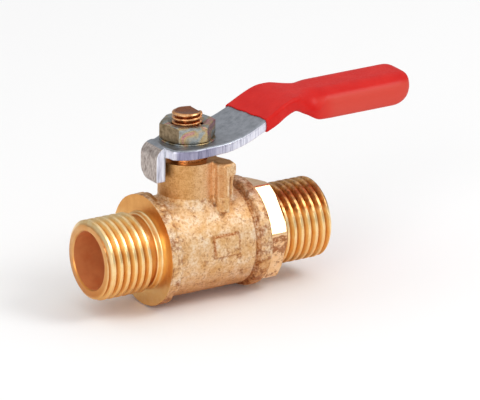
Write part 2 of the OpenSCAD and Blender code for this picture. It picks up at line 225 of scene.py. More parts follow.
def polygon_field(points, u, v):
    """Signed distance in the plane to a closed outline, negative inside."""
    best = np.full(np.broadcast(u, v).shape, 1e9, np.float32)
    inside = np.zeros(best.shape, bool)
    for (ax, ay), (bx, by) in zip(points, points[1:] + points[:1]):
        ex, ey = bx - ax, by - ay
        t = np.clip(((u - ax) * ex + (v - ay) * ey) / (ex * ex + ey * ey), 0, 1)
        best = np.minimum(best, (u - ax - t * ex) ** 2 + (v - ay - t * ey) ** 2)
        if ey:
            inside ^= ((ay > v) != (by > v)) & (u < (v - ay) * ex / ey + ax)
    return np.where(inside, -1, 1) * np.sqrt(best)


def smooth_step(v, lo, hi):
    t = np.clip((v - lo) / (hi - lo), 0, 1)
    return t * t * (3 - 2 * t)


# ======== Meshes ========
def new_object(name, points, faces):
    """Object from an array of points and a list of face arrays."""
    mesh = bpy.data.meshes.new(name)
    mesh.vertices.add(len(points))
    mesh.vertices.foreach_set("co", np.asarray(points, np.float32).ravel())
    loops = np.concatenate([np.asarray(f, np.int32).ravel() for f in faces])
    counts = np.concatenate([np.full(len(f), np.asarray(f).shape[1] if len(f) else 3)
                             for f in faces])
    mesh.loops.add(len(loops))
    mesh.loops.foreach_set("vertex_index", loops)
    mesh.polygons.add(len(counts))
    mesh.polygons.foreach_set("loop_start", np.concatenate([[0], np.cumsum(counts)[:-1]]))
    mesh.update(calc_edges=True)
    mesh.validate()
    made = bpy.data.objects.new(name, mesh)
    bpy.context.scene.collection.objects.link(made)
    return made


def lathe(name, profile, axis="X", steps=180):
    """Closed solid turned about X or Z from (radius, place) points that start and end on the axis."""
    turn = np.linspace(0, 2 * math.pi, steps, endpoint=False)
    body = np.array([p for p in profile if p[0] > 0], float)
    first, last = profile[0][1], profile[-1][1]
    ring = np.stack([np.cos(turn), np.sin(turn)], 1)
    around = body[:, None, :1] * ring[None]
    along = np.broadcast_to(body[:, None, 1:], around[..., :1].shape)
    points = np.concatenate([along, around], 2).reshape(-1, 3)
    points = np.vstack([points, [first, 0, 0], [last, 0, 0]])
    n = len(body)
    i, j = np.meshgrid(np.arange(n - 1), np.arange(steps), indexing="ij")
    a, b = i * steps + j, i * steps + (j + 1) % steps
    quads = np.stack([a, b, b + steps, a + steps], 2).reshape(-1, 4)
    k = np.arange(steps)
    nxt = (k + 1) % steps
    low = np.stack([np.full(steps, n * steps), nxt, k], 1)
    top = (n - 1) * steps
    high = np.stack([np.full(steps, n * steps + 1), top + k, top + nxt], 1)
    if axis == "Z":
        points = points[:, [1, 2, 0]]
    return face_out(new_object(name, points * MM, [low, high, quads]))


def ring_lathe(name, loop, axis="X", steps=180):
    """Closed ring turned about X or Z from a closed loop of (radius, place) points."""
    turn = np.linspace(0, 2 * math.pi, steps, endpoint=False)
    body = np.array(loop, float)
    ring = np.stack([np.cos(turn), np.sin(turn)], 1)
    around = body[:, None, :1] * ring[None]
    along = np.broadcast_to(body[:, None, 1:], around[..., :1].shape)
    points = np.concatenate([along, around], 2).reshape(-1, 3)
    if axis == "Z":
        points = points[:, [1, 2, 0]]
    n = len(body)
    i, j = np.meshgrid(np.arange(n), np.arange(steps), indexing="ij")
    nxt = (i + 1) % n
    quads = np.stack([i * steps + j, i * steps + (j + 1) % steps,
                      nxt * steps + (j + 1) % steps, nxt * steps + j], 2).reshape(-1, 4)
    return face_out(new_object(name, points * MM, [quads]))


def face_out(obj):
    """Turns the faces of a closed mesh outwards."""
    mesh = obj.data
    mesh.calc_loop_triangles()
    co = np.zeros(len(mesh.vertices) * 3, np.float32)
    mesh.vertices.foreach_get("co", co)
    co = co.reshape(-1, 3).astype(float)
    tri = np.zeros(len(mesh.loop_triangles) * 3, np.int32)
    mesh.loop_triangles.foreach_get("vertices", tri)
    a, b, c = co[tri.reshape(-1, 3)].transpose(1, 0, 2)
    if np.einsum("ij,ij->i", a, np.cross(b, c)).sum() < 0:
        mesh.flip_normals()
    return obj


def turned(name, places, radius, steps=240):
    """Closed solid along X whose radius depends on the place and on the turn about X."""
    turn = np.linspace(0, 2 * math.pi, steps, endpoint=False)[None]
    x = np.asarray(places, float)[:, None] + 0 * turn
    r = radius(x, turn)
    points = np.stack([x, r * np.cos(turn), r * np.sin(turn)], 2).reshape(-1, 3)
    i, j = np.meshgrid(np.arange(len(places) - 1), np.arange(steps), indexing="ij")
    i, j, after = i.ravel(), j.ravel(), (j.ravel() + 1) % steps
    quads = np.stack([i * steps + j, (i + 1) * steps + j, (i + 1) * steps + after,
                      i * steps + after], 1)
    ring, after = np.arange(steps), (np.arange(steps) + 1) % steps
    top = (len(places) - 1) * steps
    low, high = np.full(steps, len(points)), np.full(steps, len(points) + 1)
    fans = np.vstack([np.stack([low, ring, after], 1), np.stack([high, top + after, top + ring], 1)])
    ends = [[places[0], 0, 0], [places[-1], 0, 0]]
    return face_out(new_object(name, np.vstack([points, ends]) * MM, [fans, quads]))


def thread_radius(x, turn, crest_x):
    """Radius of a right-handed pipe thread whose crest passes the front at crest_x."""
    share = ((x - crest_x) / PITCH - (turn - math.pi) / (2 * math.pi) + 0.5) % 1 - 0.5
    flank = np.clip((np.abs(share) * PITCH - CREST_W / 2) / FLANK_W, 0, 1)
    flank = 0.45 * flank + 0.55 * smooth_step(flank, 0, 1)
    return THREAD_R - THREAD_DEPTH * flank


def combine(target, tool, operation):
    """Boolean of two closed meshes. The tool is used up, and its materials come along."""
    modifier = target.modifiers.new("combine", "BOOLEAN")
    modifier.object, modifier.operation, modifier.solver = tool, operation, "MANIFOLD"
    graph = bpy.context.evaluated_depsgraph_get()
    old = target.data
    made = bpy.data.meshes.new_from_object(target.evaluated_get(graph), depsgraph=graph)
    target.modifiers.clear()
    target.data = made
    bpy.data.meshes.remove(old)
    bpy.data.objects.remove(tool)
    return target


def shade(obj, sharp_deg=None):
    """Smooth shading, with edges sharper than the angle kept crisp."""
    obj.data.shade_smooth()
    if sharp_deg:
        obj.data.set_sharp_from_angle(angle=math.radians(sharp_deg))
    return obj


def face_data(obj):
    """Centres in millimetres and normals of a mesh's faces."""
    n = len(obj.data.polygons)
    centre, normal = np.zeros(n * 3, np.float32), np.zeros(n * 3, np.float32)
    obj.data.polygons.foreach_get("center", centre)
    obj.data.polygons.foreach_get("normal", normal)
    return centre.reshape(-1, 3) / MM, normal.reshape(-1, 3)


def paint(obj, materials, index=None):
    """Gives the mesh its materials, and each face its index into them."""
    obj.data.materials.clear()
    for m in materials:
        obj.data.materials.append(m)
    if index is not None:
        obj.data.polygons.foreach_set("material_index", np.asarray(index, np.int32))
    obj.data.update()
    return obj


# ======== Materials ========
class Shader:
    """A Principled material and short calls for the nodes that feed it. Places are millimetres."""

    def __init__(self, name, **constants):
        self.material = bpy.data.materials.new(name)
        self.material.use_nodes = True
        self.tree = self.material.node_tree
        self.bsdf = self.tree.nodes["Principled BSDF"]
        for socket, value in constants.items():
            self.bsdf.inputs[socket.replace("_", " ")].default_value = value
        self.place = self.stretch((1, 1, 1))

    def node(self, kind, inputs=(), **settings):
        made = self.tree.nodes.new("ShaderNode" + kind)
        for key, value in settings.items():
            setattr(made, key, value)
        for socket, value in dict(inputs).items():
            self.feed(made.inputs[socket], value)
        return made

    def feed(self, socket, value):
        if isinstance(value, bpy.types.NodeSocket):
            self.tree.links.new(value, socket)
        else:
            socket.default_value = value

    def stretch(self, scale):
        """Object coordinates in millimetres, times a scale along each axis."""
        where = self.node("TexCoord").outputs["Object"]
        scaled = self.node("Mapping", {"Vector": where, "Scale": [s / MM for s in scale]})
        return scaled.outputs["Vector"]

    def noise(self, scale, detail=2.0, rough=0.5, place=None, distortion=0.0):
        made = self.node("TexNoise", {"Vector": place or self.place, "Scale": scale,
                                      "Detail": detail, "Roughness": rough,
                                      "Distortion": distortion})
        return made.outputs["Fac"]

    def along(self, axis, lo, hi):
        """0 to 1 between two places along an axis, in millimetres."""
        split = self.node("SeparateXYZ", {"Vector": self.place})
        return self.level(split.outputs[axis], lo, hi)

    def reach(self, a, b, full=4.0):
        """Distance from the axis that is square to a and b, as a share of a full distance."""
        split = self.node("SeparateXYZ", {"Vector": self.place})
        squares = [self.math("POWER", self.math("ABSOLUTE", split.outputs[axis]), 2.0)
                   for axis in (a, b)]
        return self.math("DIVIDE", self.math("SQRT", self.math("ADD", *squares)), full)

    def ramp(self, value, stops):
        """Colour ramp from (place, colour) stops; a number stands for a grey."""
        made = self.node("ValToRGB", {"Fac": value})
        line = made.color_ramp
        while len(line.elements) < len(stops):
            line.elements.new(0.5)
        for element, (at, colour) in zip(line.elements, stops):
            element.position = at
            grey = isinstance(colour, (int, float))
            element.color = (colour,) * 3 + (1,) if grey else (*colour, 1)
        return made.outputs["Color"]

    def mix(self, share, a, b, blend="MIX"):
        made = self.node("Mix", data_type="RGBA", blend_type=blend)
        self.feed(made.inputs[0], share)
        for socket, value in ((made.inputs[6], a), (made.inputs[7], b)):
            self.feed(socket, (*value, 1) if isinstance(value, tuple) else value)
        return made.outputs[2]

    def level(self, value, lo, hi, to_lo=0.0, to_hi=1.0):
        made = self.node("MapRange", {"Value": value, "From Min": lo, "From Max": hi,
                                      "To Min": to_lo, "To Max": to_hi})
        return made.outputs["Result"]

    def math(self, operation, a, b=0.0):
        made = self.node("Math", operation=operation)
        self.feed(made.inputs[0], a)
        self.feed(made.inputs[1], b)
        return made.outputs[0]

    def bump(self, height, depth, strength=1.0, under=None):
        """Bump of the given depth in millimetres."""
        made = self.node("Bump", {"Height": height, "Distance": depth * MM, "Strength": strength})
        if under:
            self.feed(made.inputs["Normal"], under)
        return made.outputs["Normal"]

    def done(self, **links):
        for socket, value in links.items():
            self.feed(self.bsdf.inputs[socket.replace("_", " ")], value)
        return self.material


def cast_brass():
    """Sand-cast brass: pale gold and rose patches, brown in the pits, a fine sandy grain."""
    s = Shader("cast_brass", Metallic=0.8)
    patches = s.ramp(s.noise(0.55, 3.0, 0.6), [(0.32, (0.78, 0.49, 0.22)), (0.5, (0.87, 0.64, 0.39)),
                                               (0.68, (0.92, 0.79, 0.62))])
    # Painted shade: the brass turns a darker orange-brown towards the bottom of the body.
    low = s.ramp(s.noise(0.6, 3.0, 0.6), [(0.35, (0.56, 0.25, 0.08)), (0.65, (0.72, 0.38, 0.15))])
    patches = s.mix(s.along("Z", -7.5, -2.0), low, patches)
    grain = s.noise(2.6, 4.0, 0.7)
    pits = s.ramp(grain, [(0.30, (0.40, 0.17, 0.05)), (0.43, (0.84, 0.68, 0.52)),
                          (0.60, (1.0, 1.0, 1.0))])
    # Stains grow stronger towards the collar's groove, as painted shade there, and towards the flange's
    # root.
    ends = s.math("MULTIPLY", s.along("X", 8.2, 9.0), 0.09)
    ends = s.math("ADD", ends, s.math("MULTIPLY", s.along("X", -5.0, -6.2), 0.07))
    blotch = s.math("SUBTRACT", s.noise(0.9, 4.0, 0.7), ends)
    stains = s.ramp(blotch, [(0.30, (0.46, 0.22, 0.11)), (0.44, (1.0, 1.0, 1.0))])
    colour = s.mix(0.8, s.mix(0.8, patches, pits, "MULTIPLY"), stains, "MULTIPLY")
    # Below: a darker speckled line round the front pad's edge, and painted shade in the groove before the
    # collar.
    split = s.node("SeparateXYZ", {"Vector": s.place})
    off = [s.math("SUBTRACT", s.math("ABSOLUTE", s.math("SUBTRACT", split.outputs[axis], middle)),
                  width / 2 + 0.02)
           for axis, middle, width in (("X", PAD[0], PAD[2]), ("Z", PAD[1], PAD[3]))]
    border = s.math("ABSOLUTE", s.math("MAXIMUM", *off))
    border = s.math("MULTIPLY", s.level(border, 0.34, 0.1), s.along("Y", -5.0, -6.0))
    groove = s.math("MULTIPLY", s.along("X", 8.0, 8.3), s.along("X", 9.0, 8.7))
    groove_shade_and_pad_border = s.math("MULTIPLY", s.math("MAXIMUM", border, groove), s.level(grain, 0.75, 0.4))
    colour = s.mix(groove_shade_and_pad_border, colour, (0.60, 0.36, 0.20), "MULTIPLY")
    rough = s.level(s.noise(2.2, 2.0), 0.3, 0.7, 0.52, 0.68)
    coarse = s.bump(s.noise(1.6, 2.0, 0.5), 0.12, 0.5)
    return s.done(Base_Color=colour, Roughness=rough, Normal=s.bump(grain, 0.11, 0.8, coarse))


def neck_brass():
    """The neck's smoother, blasted brass with a faint upright brushing."""
    s = Shader("neck_brass", Metallic=0.85)
    # Painted shade and light: the neck is a darker orange towards -X and paler towards +X, across its
    # round side.
    dark = s.ramp(s.noise(1.3, 4.0, 0.6), [(0.3, (0.58, 0.29, 0.09)), (0.7, (0.74, 0.43, 0.18))])
    light = s.ramp(s.noise(1.3, 4.0, 0.6), [(0.3, (0.84, 0.52, 0.26)), (0.7, (0.95, 0.70, 0.45))])
    colour = s.mix(s.along("X", -2.0, 1.8), dark, light)
    lug = s.math("MULTIPLY", s.along("X", 2.2, 2.6), s.along("Y", -4.4, -4.8))
    colour = s.mix(lug, colour, (0.78, 0.62, 0.46), "MULTIPLY")
    speck = s.ramp(s.noise(5.0, 3.0, 0.6), [(0.33, (0.72, 0.58, 0.46)), (0.5, (1.0, 1.0, 1.0))])
    streaks = s.noise(2.6, 2.0, 0.5, s.stretch((1, 1, 0.12)))
    normal = s.bump(s.noise(5.0, 3.0, 0.6), 0.04, 0.6, s.bump(streaks, 0.04, 0.5))
    return s.done(Base_Color=s.mix(1.0, colour, speck, "MULTIPLY"),
                  Roughness=s.level(streaks, 0.3, 0.7, 0.42, 0.55), Normal=normal)


def hex_brass():
    """The cap's hexagon: smooth, bright flats with a few brown casting scars."""
    s = Shader("hex_brass", Metallic=0.95)
    colour = s.ramp(s.noise(0.8, 3.0, 0.6), [(0.3, (0.86, 0.52, 0.24)), (0.7, (0.96, 0.68, 0.42))])
    patch = s.math("ADD", s.noise(0.9, 4.0, 0.7), s.math("MULTIPLY", s.along("Z", 1.1, 1.6), 0.5))
    patch = s.math("SUBTRACT", patch, s.math("MULTIPLY", s.along("Z", -3.4, -1.6), 0.12))
    scars = s.ramp(patch, [(0.37, (0.36, 0.16, 0.07)), (0.48, (1.0, 1.0, 1.0))])
    speck = s.noise(4.0, 3.0, 0.6)
    return s.done(Base_Color=s.mix(0.85, colour, scars, "MULTIPLY"),
                  Roughness=s.level(speck, 0.3, 0.7, 0.26, 0.38), Normal=s.bump(speck, 0.02, 0.5))


def turned_brass():
    """Bright turned brass with fine tool rings about the pipe's axis."""
    s = Shader("turned_brass", Metallic=0.95)
    rings = s.noise(1.0, 3.0, 0.7, s.stretch((9, 0.05, 0.05)))
    pale = s.ramp(s.noise(0.8, 3.0, 0.6), [(0.3, (0.94, 0.62, 0.26)), (0.7, (1.0, 0.78, 0.44))])
    # Painted shade: the turned brass is a deeper orange towards the bottom and paler towards the top.
    warm = s.mix(s.along("Z", -5.5, 0.5), (0.88, 0.46, 0.13), pale)
    # Painted shade darkens the thread roots.
    roots = s.ramp(s.reach("Y", "Z", 8.0), [(5.75 / 8, (0.74, 0.52, 0.36)), (6.15 / 8, (1.0, 1.0, 1.0))])
    # Painted reflection: the top of the outlet thread is darkened towards red-brown, standing in for the
    # red grip reflected there.
    reflection_tint = s.ramp(s.noise(1.2, 4.0, 0.6), [(0.35, (0.36, 0.22, 0.16)), (0.65, (0.85, 0.66, 0.50))])
    painted_reflection_top = s.math("MULTIPLY", s.along("Z", 2.8, 3.8), s.along("X", 14.0, 14.4))
    colour = s.mix(painted_reflection_top, s.mix(1.0, warm, roots, "MULTIPLY"), reflection_tint, "MULTIPLY")
    return s.done(Base_Color=colour, Roughness=s.level(rings, 0.3, 0.7, 0.27, 0.4),
                  Normal=s.bump(rings, 0.02, 0.5))


def faced_brass():
    """The flange's faced front: orange brass with rings about the pipe's axis."""
    s = Shader("faced_brass", Metallic=1.0)
    split = s.node("SeparateXYZ", {"Vector": s.place})
    radius = s.math("SQRT", s.math("ADD", s.math("POWER", split.outputs["Y"], 2.0),
                                   s.math("POWER", split.outputs["Z"], 2.0)))
    rings = s.noise(7.0, 3.0, 0.7, s.node("CombineXYZ", {"X": radius}).outputs["Vector"])
    cloud = s.noise(0.7, 3.0, 0.6)
    # Painted shade and light: the face is a deeper orange towards the top and brighter towards the bottom.
    colour = s.mix(s.along("Z", 5.5, 1.5),
                   s.ramp(cloud, [(0.3, (0.66, 0.29, 0.07)), (0.7, (0.76, 0.37, 0.10))]),
                   s.ramp(cloud, [(0.3, (0.90, 0.54, 0.19)), (0.7, (0.97, 0.64, 0.27))]))
    return s.done(Base_Color=colour, Roughness=s.level(rings, 0.3, 0.7, 0.26, 0.42),
                  Normal=s.bump(rings, 0.015, 0.5))


def bore_brass():
    """Drilled wall of a bore: brass painted a darker red-brown as shade inside the bore, with a drill's
    rings.
    """
    s = Shader("bore_brass", Metallic=0.3)
    rings = s.noise(1.0, 2.0, 0.6, s.stretch((5, 0.1, 0.1)))
    colour = s.ramp(s.noise(0.5, 2.0), [(0.3, (0.72, 0.24, 0.08)), (0.7, (0.82, 0.33, 0.12))])
    return s.done(Base_Color=colour, Roughness=s.level(rings, 0.3, 0.7, 0.36, 0.5),
                  Normal=s.bump(rings, 0.03, 0.5))


def stem_copper():
    """The stem's redder brass, polished on the crests and dark in the roots."""
    s = Shader("stem_copper", Metallic=1.0)
    colour = s.ramp(s.noise(2.2, 4.0, 0.65), [(0.3, (0.66, 0.30, 0.12)), (0.5, (0.84, 0.44, 0.19)),
                                              (0.72, (0.95, 0.62, 0.34))])
    # Painted shade darkens the screw's thread roots.
    roots = s.ramp(s.reach("X", "Y"), [(2.0 / 4, (0.35, 0.2, 0.14)), (2.35 / 4, (1.0, 1.0, 1.0))])
    return s.done(Base_Color=s.mix(1.0, colour, roots, "MULTIPLY"),
                  Roughness=s.level(s.noise(4.0, 2.0), 0.3, 0.7, 0.22, 0.38),
                  Normal=s.bump(s.noise(5.0, 3.0, 0.6), 0.03, 0.5))


def steel_face():
    """Rolled blue-grey steel with faint rolling lines, scuffs and small pits."""
    s = Shader("steel_face", Metallic=0.9)
    lines = s.noise(2.0, 3.0, 0.6, s.stretch((0.15, 2.0, 0.5)))
    scuffs = s.noise(0.9, 5.0, 0.65)
    colour = s.mix(0.6, s.ramp(scuffs, [(0.3, (0.25, 0.27, 0.30)), (0.7, (0.42, 0.44, 0.49))]),
                   s.ramp(lines, [(0.35, 0.8), (0.65, 1.0)]), "MULTIPLY")
    speck = s.ramp(s.noise(5.0, 2.0), [(0.28, 0.7), (0.4, 1.0)])
    return s.done(Base_Color=s.mix(1.0, colour, speck, "MULTIPLY"),
                  Roughness=s.level(scuffs, 0.3, 0.7, 0.3, 0.46),
                  Normal=s.bump(s.noise(4.0, 3.0, 0.6), 0.02, 0.5, s.bump(lines, 0.01, 0.4)))


def tab_steel():
    """Outer face of the stop tab: warm grey, brushed across with dark drag marks."""
    s = Shader("tab_steel", Metallic=0.85)
    brush = s.noise(2.2, 4.0, 0.7, s.stretch((1.0, 1.3, 0.5)))
    colour = s.ramp(brush, [(0.34, (0.24, 0.19, 0.17)), (0.47, (0.44, 0.37, 0.34)),
                            (0.62, (0.62, 0.55, 0.51))])
    return s.done(Base_Color=colour, Roughness=s.level(brush, 0.3, 0.7, 0.5, 0.34),
                  Normal=s.bump(brush, 0.05, 0.6))


def steel_edge():
    """Sheared edge of the sheet: pale, with upright drag lines from the punch."""
    s = Shader("steel_edge", Metallic=0.75)
    drag = s.noise(3.0, 4.0, 0.7, s.stretch((1.0, 1.0, 0.07)))
    colour = s.ramp(drag, [(0.32, (0.38, 0.38, 0.47)), (0.48, (0.74, 0.74, 0.84)),
                           (0.7, (0.93, 0.93, 0.98))])
    # Painted shade: the sheared edge is darkened round the hub, from x -4.6 to 0.5.
    hub_edge_shade = s.math("MULTIPLY", s.along("X", -5.4, -4.6), s.along("X", 6.5, 0.5))
    colour = s.mix(hub_edge_shade, colour, (0.42, 0.40, 0.50), "MULTIPLY")
    return s.done(Base_Color=colour, Roughness=s.level(drag, 0.3, 0.7, 0.5, 0.32),
                  Normal=s.bump(drag, 0.05, 0.6))


def red_vinyl():
    """Dipped vinyl: red, glossy with a soft waviness and a few dimples."""
    s = Shader("red_vinyl", Metallic=0.0, Specular_IOR_Level=0.16, Coat_Weight=0.06,
               Coat_Roughness=0.2, Subsurface_Weight=0.04,
               Subsurface_Radius=(0.002, 0.0004, 0.0003))
    colour = s.ramp(s.noise(0.35, 3.0, 0.6), [(0.3, (0.58, 0.007, 0.005)),
                                              (0.7, (0.65, 0.014, 0.009))])
    # Painted highlight: the grip's side below its top is a lighter, pinker red.
    side_highlight = s.math("MULTIPLY", s.along("Z", 21.7, 21.1), s.along("X", 21.0, 25.0))
    colour = s.mix(side_highlight, colour, (0.62, 0.062, 0.042))
    waves = s.bump(s.noise(0.5, 2.0, 0.5), 0.12, 0.35)
    return s.done(Base_Color=colour, Roughness=s.level(s.noise(3.0, 3.0), 0.3, 0.7, 0.4, 0.52),
                  Normal=s.bump(s.noise(5.0, 2.0, 0.5), 0.012, 0.5, waves))


def plated_steel():
    """Yellow-passivated zinc: olive, with pink, green and pale blue bands that drift over it."""
    s = Shader("plated_steel", Metallic=0.92)
    drift = s.noise(0.33, 2.0, 0.45, distortion=0.6)
    bands = s.ramp(drift, [(0.30, (0.22, 0.15, 0.07)), (0.40, (0.55, 0.25, 0.28)),
                           (0.46, (0.52, 0.38, 0.18)), (0.53, (0.37, 0.40, 0.40)),
                           (0.64, (0.26, 0.21, 0.13))])
    stains = s.ramp(s.noise(2.5, 4.0, 0.65), [(0.3, 0.55), (0.55, 1.0)])
    colour = s.mix(0.8, bands, stains, "MULTIPLY")
    return s.done(Base_Color=colour, Roughness=s.level(s.noise(3.0, 3.0), 0.3, 0.7, 0.24, 0.4),
                  Normal=s.bump(s.noise(5.0, 3.0, 0.6), 0.012, 0.5))


def dulled_plating():
    """The same plating where it has gone dull and brown."""
    s = Shader("dulled_plating", Metallic=0.9)
    blotch = s.noise(1.6, 4.0, 0.65)
    colour = s.ramp(blotch, [(0.3, (0.12, 0.08, 0.04)), (0.7, (0.38, 0.28, 0.17))])
    return s.done(Base_Color=colour, Roughness=s.level(blotch, 0.3, 0.7, 0.3, 0.46),
                  Normal=s.bump(s.noise(5.0, 3.0, 0.6), 0.015, 0.5))


def polished_chrome():
    """The ball's chrome with hair-fine lapping marks."""
    s = Shader("polished_chrome", Metallic=1.0)
    hair = s.noise(2.0, 3.0, 0.6, s.stretch((0.2, 3.0, 3.0)))
    colour = s.ramp(hair, [(0.3, (0.62, 0.64, 0.66)), (0.7, (0.72, 0.73, 0.75))])
    return s.done(Base_Color=colour, Roughness=s.level(hair, 0.3, 0.7, 0.08, 0.16),
                  Normal=s.bump(hair, 0.004, 0.4))


def white_ptfe():
    """Waxy white plastic of the seats and the thrust washer."""
    s = Shader("white_ptfe", Metallic=0.0, Subsurface_Weight=0.15,
               Subsurface_Radius=(0.001, 0.001, 0.001))
    mottle = s.noise(1.5, 3.0, 0.6)
    colour = s.ramp(mottle, [(0.3, (0.80, 0.79, 0.75)), (0.7, (0.88, 0.87, 0.84))])
    return s.done(Base_Color=colour, Roughness=s.level(mottle, 0.3, 0.7, 0.42, 0.55),
                  Normal=s.bump(s.noise(5.0, 2.0), 0.01, 0.4))


def black_rubber():
    """Moulded rubber of the O-rings."""
    s = Shader("black_rubber", Metallic=0.0)
    bloom = s.noise(4.0, 3.0, 0.6)
    colour = s.ramp(bloom, [(0.3, (0.012, 0.012, 0.013)), (0.7, (0.03, 0.03, 0.032))])
    return s.done(Base_Color=colour, Roughness=s.level(bloom, 0.3, 0.7, 0.45, 0.65),
                  Normal=s.bump(bloom, 0.01, 0.5))


# ======== Body ========
def shut_lug(grid, grow=0.0):
    """Outline from above of the front lug, with its root inside the neck."""
    x0, tip = TAB_HALF + 0.04, -(TAB_X - 0.3)
    return polygon_field([(x0 - 0.3, -2), (x0 - 0.3, -5.5), (x0 + 0.4, -6.6), (x0 + 1.2, tip),
                          (x0 + 1.9 + grow, tip + 0.4), (x0 + 2.1 + grow, -(NECK_R - 0.1)),
                          (x0 + 1.7, -2)], grid.x, grid.y)


def open_lug(grid):
    """Outline from above of the short lug behind the tab."""
    y0, tip = TAB_HALF + 0.04, -(TAB_X - 0.9)
    return polygon_field([(tip, y0), (tip + 0.1, y0 + 0.9), (tip + 1.1, y0 + 1.6),
                          (-(NECK_R - 2.1), y0 + 1.5), (-(NECK_R - 2.1), y0)], grid.x, grid.y)


def cast_field(grid):
    """Outside of the cast body, before machining."""
    x, y, z = grid.x, grid.y, grid.z
    radius = np.hypot(y, z)
    front = np.where(y < 0, 1.0, 0.0)
    pad = np.hypot(np.maximum(np.abs(x - PAD[0]) - PAD[2] / 2 + 0.6, 0),
                   np.maximum(np.abs(z - PAD[1]) - PAD[3] / 2 + 0.6, 0))
    pad_rise = PAD_RISE * front * (1 - smooth_step(pad, 0.45, 0.65))
    barrel = round_max(radius - BARREL_R - pad_rise, slab(x, FLANGE_X, 8.9), 0.3)
    wobble = grid.noise(2.4, 11)
    bites = np.maximum(grid.noise(1.1, 15) - 0.1, 0)
    rim = round_max(radius - FLANGE_R + 0.08 + 0.10 * wobble,
                    slab(x, FLANGE_X - 1, -6.15 + 0.25 * wobble), 0.4)
    bites = bites * smooth_step(z, -7.5, -5.0)
    rim = rim + 0.55 * bites * smooth_step(x, FLANGE_X + 0.25, FLANGE_X + 1.2)
    collar = round_max(radius - COLLAR_R + 0.05 + 0.08 * wobble,
                       slab(x, 8.85 + 0.15 * wobble, BODY_END), 0.55)
    groove = np.hypot(x - 8.45, radius - BARREL_R - 0.15) - 0.42
    solid = round_min(barrel, rim, 0.35)
    solid = np.maximum(round_min(solid, collar, 0.15), -groove)
    neck = np.maximum(np.hypot(x, y) - NECK_R, slab(z, 0, NECK_TOP + 1))
    blend = 0.3 + 1.7 * smooth_step(-y, 1.5, 5.0) + 0.9 * smooth_step(y, 3.5, 5.0)
    solid = round_min(solid, neck, blend)
    head = round_max(shut_lug(grid, 0.75), slab(z, NECK_TOP - 2.3, NECK_TOP), 0.55)
    shank = round_max(shut_lug(grid, -0.35) + 0.08, slab(z, NECK_TOP - 8.3, NECK_TOP - 0.5), 0.3)
    lumps = grid.noise(0.8, 12)
    flash = np.hypot(x - TAB_HALF - 2.55, (y + 4.95) * 0.9) - 0.5 - 0.28 * lumps
    flash = round_max(flash, slab(z, NECK_TOP - 6.4, NECK_TOP - 2.3), 0.25)
    solid = round_min(solid, shank, 0.2)
    solid = round_min(solid, head, 0.1)
    solid = round_min(solid, flash, 0.12)
    crease = np.minimum(np.hypot(x - TAB_HALF + 0.3, y + 4.75) - 0.26,
                        np.hypot(x - TAB_HALF - 1.95, y + 5.2) - 0.26)
    crease = np.maximum(crease, slab(z, NECK_TOP - 7.8, NECK_TOP - 1.0))
    solid = round_max(solid, -crease, 0.12)
    back_lug = round_max(open_lug(grid), slab(z, NECK_TOP - 2.45, NECK_TOP), 0.3)
    solid = round_min(solid, back_lug, 0.3)
    seam = np.hypot(np.abs(z - 8.15 + 0.35 * (x + 4)), np.hypot(x, y) - NECK_R) - 0.12
    seam = np.maximum(seam, slab(x, -4.6, -1.0))
    seam = np.maximum(seam, y)
    solid = round_min(solid, seam, 0.1)
    rough = 0.4 + 0.6 * smooth_step(-z, -9.5, -7.0)
    return solid + rough * (0.035 * grid.noise(0.62, 13) + 0.022 * grid.noise(0.36, 14))


def body_materials(obj):
    """Index of each face of the body: cast, neck, faced or bore."""
    centre, normal = face_data(obj)
    x, y, z = centre.T
    radius = np.hypot(y, z)
    index = np.zeros(len(centre), np.int32)
    index[(z > 8.6) & (np.hypot(x, y) < 7.5)] = 1
    flat_top = (normal[:, 2] > 0.97) & (z > NECK_TOP - 0.06)
    flat_front = (normal[:, 0] < -0.9) & (x < FLANGE_X + 0.06)
    index[flat_top] = 2
    index[flat_front] = 2
    index[x < FLANGE_X - 0.02] = 3
    inside = (radius < BORE_R + 0.05) & (x < -8) | (radius < CHAMBER_R + 0.7) & (x > -6.8)
    index[inside & (np.hypot(x, y) > 3.4) & (z < 8)] = 4
    return index


def stub(name, envelope, thread_x, crest_x):
    """Threaded pipe stub without its bore, from (place, radius) points and the thread's ends."""
    places, radii = (np.array(v, float) for v in zip(*envelope))
    fine = np.arange(thread_x[0], thread_x[1], 0.045)
    xs = np.unique(np.round(np.concatenate([places, fine]), 4))

    def radius(x, turn):
        outer = np.interp(x, places, radii)
        threaded = (x > thread_x[0] - 0.001) & (x < thread_x[1] + 0.001)
        return np.where(threaded, np.minimum(outer, thread_radius(x, turn, crest_x)), outer)

    return turned(name, xs, radius)


def bore_tool(end_x, direction, far_x):
    """What is drilled out of a stub: bore, drill cone and port."""
    floor_x = end_x - direction * BORE_DEPTH
    edge = 0.18
    return lathe("bore", [(0, end_x + direction), (BORE_R + edge, end_x + direction),
                          (BORE_R + edge, end_x), (BORE_R, end_x - direction * edge),
                          (BORE_R, floor_x), (PORT_R, floor_x - direction * DRILL_CONE),
                          (PORT_R, far_x), (0, far_x)], steps=128)


